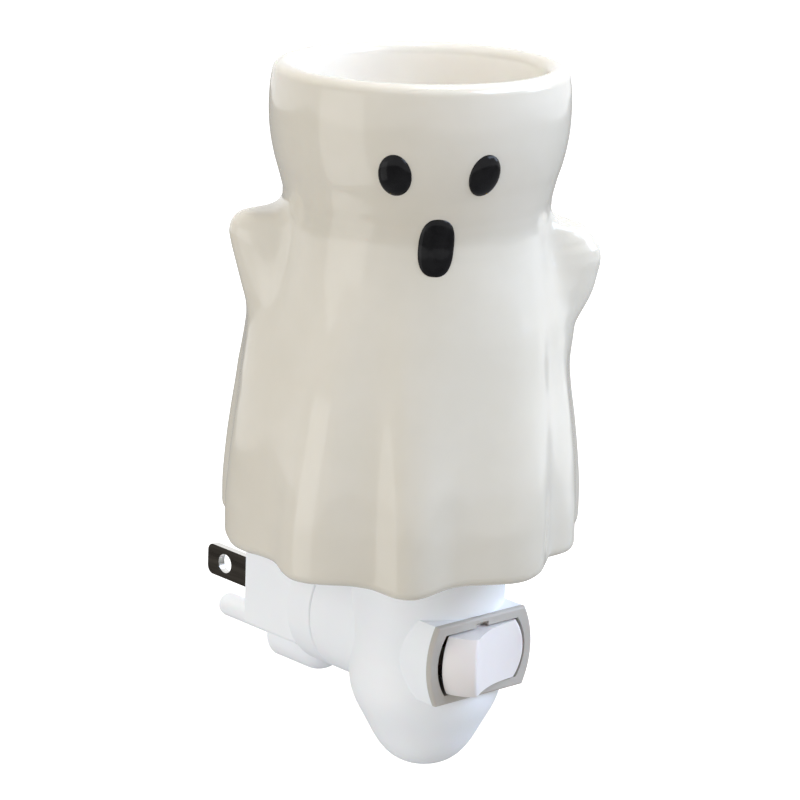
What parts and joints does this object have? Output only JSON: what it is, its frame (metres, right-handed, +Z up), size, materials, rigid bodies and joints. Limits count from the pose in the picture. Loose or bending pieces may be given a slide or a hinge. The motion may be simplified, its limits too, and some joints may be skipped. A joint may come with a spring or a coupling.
{
  "type": "wax melt warmer",
  "caption": "Plug-in wax warmer: draped ghost-shaped glazed shade with an open wax dish in its head, on a night-light base with a rocker switch and swivel plug.",
  "frame": {"origin": "middle of the plug's wall face, on the line of the two blades", "axes": "+Y into the wall along the blades, -Y the switch side, +Z up along the bulb and the shade"},
  "size_m": [0.069, 0.0932, 0.1411],
  "materials": {
    "plug_plastic": "satin white moulding",
    "blade_metal": "nickel-plated",
    "insulator": "plain moulded insulator",
    "brass_contact": "bare",
    "steel": "zinc-plated",
    "housing_plastic": "satin white moulding",
    "switch_plastic": "satin white moulding",
    "plunger_plastic": "plain",
    "cushion": "soft matte",
    "glaze": "glossy warm-white glaze",
    "black_glaze": "glossy black glaze",
    "cap_metal": "thin pressed shell",
    "bulb_glass": "clear",
    "filament": "bare wire"
  },
  "bodies": {
    "plug": {"plug_body": "plug_plastic", "live_blade": "blade_metal", "neutral_blade": "blade_metal", "blade_carrier": "insulator", "slip_plate": "insulator", "slip_button": "brass_contact", "slip_ring": "brass_contact", "stem_nut": "steel"},
    "base": {"housing": "housing_plastic", "switch_bezel": "switch_plastic", "switch_body": "insulator", "common_terminal": "brass_contact", "load_terminal": "brass_contact", "live_leaf": "brass_contact", "neutral_leaf": "brass_contact", "contact_block": "insulator", "switched_strip": "brass_contact", "lamp_holder": "housing_plastic", "screw_shell": "brass_contact", "centre_contact": "brass_contact", "shade_seat": "housing_plastic", "seat_screws": "steel"},
    "rocker": {"rocker": "switch_plastic", "plunger": "plunger_plastic", "plunger_spring": "steel"},
    "contact_arm": {"contact_arm": "brass_contact"},
    "cushion": {"cushion_ring": "cushion"},
    "shade": {"ghost_shade": "glaze", "left_eye": "black_glaze", "right_eye": "black_glaze", "mouth": "black_glaze"},
    "bulb": {"bulb_cap": "cap_metal", "cap_insulator": "insulator", "cap_eyelet": "cap_metal", "bulb_glass": "bulb_glass", "glass_stem": "bulb_glass", "filament": "filament"}
  },
  "joints": [
    {"name": "plug_swivel", "type": "hinge", "parent": "plug", "child": "base", "pos_m": [0, -0.0238, 0], "axis": [0, 1, 0], "range_deg": [-90, 90]},
    {"name": "rocker_tilt", "type": "hinge", "parent": "base", "child": "rocker", "pos_m": [0, -0.0547, -0.0015], "axis": [0, 0, 1], "range_deg": [-36, 0]},
    {"name": "contact_arm_rock", "type": "hinge", "parent": "base", "child": "contact_arm", "pos_m": [0, -0.0467, 0], "axis": [0, 0, 1], "range_deg": [0, 14]},
    {"name": "shade_turn", "type": "hinge", "parent": "base", "child": "cushion", "pos_m": [0, -0.0414, 0.026], "axis": [0, 0, 1], "continuous": true},
    {"name": "shade_lift", "type": "slide", "parent": "cushion", "child": "shade", "axis": [0, 0, 1], "range_m": [0, 0.06]},
    {"name": "bulb_turn", "type": "hinge", "parent": "base", "child": "bulb", "pos_m": [0, -0.0414, 0.02], "axis": [0, 0, 1], "continuous": true}
  ],
  "couplings": [
    {"joint": "contact_arm_rock", "follows": "rocker_tilt", "ratio": -0.3888}
  ]
}
